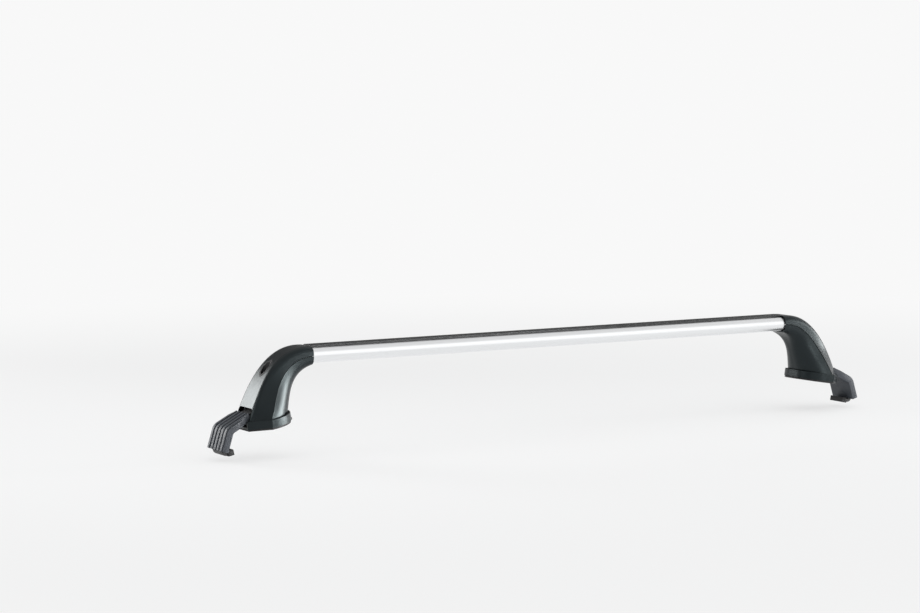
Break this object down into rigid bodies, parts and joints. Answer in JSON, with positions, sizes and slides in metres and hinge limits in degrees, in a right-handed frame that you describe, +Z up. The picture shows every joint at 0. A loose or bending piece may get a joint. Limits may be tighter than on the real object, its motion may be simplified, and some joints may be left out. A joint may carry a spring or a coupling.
{
  "type": "roof rack crossbar",
  "caption": "Aluminium roof rack crossbar on moulded clamping feet, with a rubber load strip, roof pads and bolt-tightened hooks.",
  "frame": {"origin": "mid-span, level with the middle of the two roof pads", "axes": "+X along the bar, +Y along the car, +Z up"},
  "size_m": [1.2164, 0.1062, 0.161],
  "materials": {
    "anodised_aluminium": "satin anodised",
    "strip_rubber": "matte",
    "moulded_plastic": "satin fine grain",
    "collar_plastic": "satin fine grain",
    "pad_rubber": "matte",
    "zinc_steel": "zinc plated",
    "black_steel": "black oxide",
    "coated_steel": "black powder coat",
    "sleeve_plastic": "satin ribbed"
  },
  "bodies": {
    "crossbar": {"bar_profile": "anodised_aluminium", "slot_strip": "strip_rubber", "left_outer_cover": "moulded_plastic", "left_inner_shell": "moulded_plastic", "left_base_collar": "collar_plastic", "left_roof_pad": "pad_rubber", "left_support_bracket": "zinc_steel", "left_nut_plate": "zinc_steel", "left_bar_screws": "zinc_steel", "left_base_screws": "zinc_steel", "left_bolt_washer": "zinc_steel", "right_outer_cover": "moulded_plastic", "right_inner_shell": "moulded_plastic", "right_base_collar": "collar_plastic", "right_roof_pad": "pad_rubber", "right_support_bracket": "zinc_steel", "right_nut_plate": "zinc_steel", "right_bar_screws": "zinc_steel", "right_base_screws": "zinc_steel", "right_bolt_washer": "zinc_steel"},
    "left_bolt": {"left_tension_bolt": "black_steel"},
    "left_nut": {"left_barrel_nut": "zinc_steel"},
    "left_hook": {"left_claw": "coated_steel", "left_claw_sleeve": "sleeve_plastic", "left_lip_rubber": "pad_rubber"},
    "right_bolt": {"right_tension_bolt": "black_steel"},
    "right_nut": {"right_barrel_nut": "zinc_steel"},
    "right_hook": {"right_claw": "coated_steel", "right_claw_sleeve": "sleeve_plastic", "right_lip_rubber": "pad_rubber"}
  },
  "joints": [
    {"name": "left_bolt_turn", "type": "hinge", "parent": "crossbar", "child": "left_bolt", "pos_m": [-0.52, 0, 0.0611], "axis": [0, 0, 1], "range_deg": [-725, 1805]},
    {"name": "left_nut_travel", "type": "slide", "parent": "crossbar", "child": "left_nut", "axis": [0, 0, 1], "range_m": [-0.00625, 0.0025]},
    {"name": "left_hook_swing", "type": "hinge", "parent": "left_nut", "child": "left_hook", "pos_m": [-0.52, 0, 0.0362], "axis": [0, 1, 0], "range_deg": [-1, 5]},
    {"name": "right_bolt_turn", "type": "hinge", "parent": "crossbar", "child": "right_bolt", "pos_m": [0.52, 0, 0.0611], "axis": [0, 0, 1], "range_deg": [-725, 1805]},
    {"name": "right_nut_travel", "type": "slide", "parent": "crossbar", "child": "right_nut", "axis": [0, 0, 1], "range_m": [-0.00625, 0.0025]},
    {"name": "right_hook_swing", "type": "hinge", "parent": "right_nut", "child": "right_hook", "pos_m": [0.52, 0, 0.0362], "axis": [0, -1, 0], "range_deg": [-1, 5]}
  ],
  "couplings": [
    {"joint": "left_bolt_turn", "follows": "left_nut_travel", "rad_per_m": -5026.5},
    {"joint": "right_bolt_turn", "follows": "right_nut_travel", "rad_per_m": -5026.5}
  ]
}
